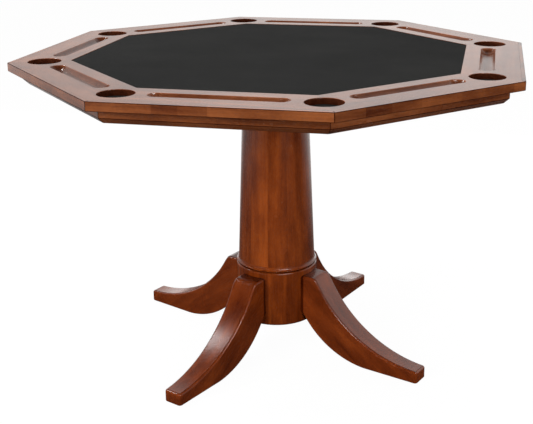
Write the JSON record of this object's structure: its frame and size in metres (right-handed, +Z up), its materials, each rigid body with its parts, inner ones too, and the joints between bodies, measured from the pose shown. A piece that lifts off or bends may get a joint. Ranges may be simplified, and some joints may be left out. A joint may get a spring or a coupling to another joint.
{
  "type": "octagonal game table",
  "caption": "Octagonal pedestal table whose loose two-sided top has a felt playing field, cup recesses and chip trays on one side and a plain dining face on the other.",
  "frame": {"origin": "on the floor, under the middle of the pedestal", "axes": "+Z up; the flats of the octagon face +X, +Y, -X, -Y and the four directions between; the legs point to octagon corners, the first one 67.5 degrees from +X towards +Y"},
  "size_m": [1.219, 1.219, 0.787],
  "materials": {
    "rim_wood": "gloss lacquer",
    "strip_wood": "gloss lacquer",
    "strip_wood_dark": "gloss lacquer",
    "face_wood": "gloss lacquer",
    "core_board": "bare",
    "felt": "matt nap",
    "apron_wood": "satin lacquer",
    "pale_wood": "bare",
    "stave_wood": "gloss lacquer",
    "stave_wood_dark": "gloss lacquer",
    "hub_wood": "gloss lacquer",
    "leg_wood": "gloss lacquer",
    "steel": "zinc plated"
  },
  "bodies": {
    "base": {"apron_board_1": "apron_wood", "apron_board_2": "apron_wood", "apron_board_3": "apron_wood", "apron_board_4": "apron_wood", "apron_board_5": "apron_wood", "apron_board_6": "apron_wood", "apron_board_7": "apron_wood", "apron_board_8": "apron_wood", "corner_blocks": "pale_wood", "rest_pads": "felt", "support_rail_1": "pale_wood", "support_rail_2": "pale_wood", "top_plate": "pale_wood", "plate_screws": "steel", "column_stave_1": "stave_wood", "column_stave_2": "stave_wood_dark", "column_stave_3": "stave_wood", "column_stave_4": "stave_wood_dark", "column_stave_5": "stave_wood", "column_stave_6": "stave_wood_dark", "column_stave_7": "stave_wood", "column_stave_8": "stave_wood_dark", "column_stave_9": "stave_wood", "column_stave_10": "stave_wood_dark", "column_stave_11": "stave_wood", "column_stave_12": "stave_wood_dark", "column_head_plug": "pale_wood", "column_foot_plug": "pale_wood", "column_ring": "hub_wood", "hub": "hub_wood", "hub_cap": "hub_wood", "leg_1": "leg_wood", "leg_2": "leg_wood", "leg_3": "leg_wood", "leg_4": "leg_wood", "leg_bolts": "steel", "leg_nuts": "steel", "tie_rod": "steel", "tie_nuts": "steel"},
    "top": {"rim_board_1": "rim_wood", "rim_board_2": "rim_wood", "rim_board_3": "rim_wood", "rim_board_4": "rim_wood", "rim_board_5": "rim_wood", "rim_board_6": "rim_wood", "rim_board_7": "rim_wood", "rim_board_8": "rim_wood", "edge_strip_1": "strip_wood", "edge_strip_2": "strip_wood_dark", "edge_strip_3": "strip_wood", "edge_strip_4": "strip_wood_dark", "edge_strip_5": "strip_wood", "edge_strip_6": "strip_wood_dark", "edge_strip_7": "strip_wood", "edge_strip_8": "strip_wood_dark", "core_panel": "core_board", "felt_cloth": "felt", "dining_face": "face_wood", "cup_pads": "felt"}
  },
  "joints": [
    {"name": "top_lift", "type": "slide", "parent": "base", "child": "top", "axis": [0, 0, 1], "range_m": [0, 0.15]}
  ]
}
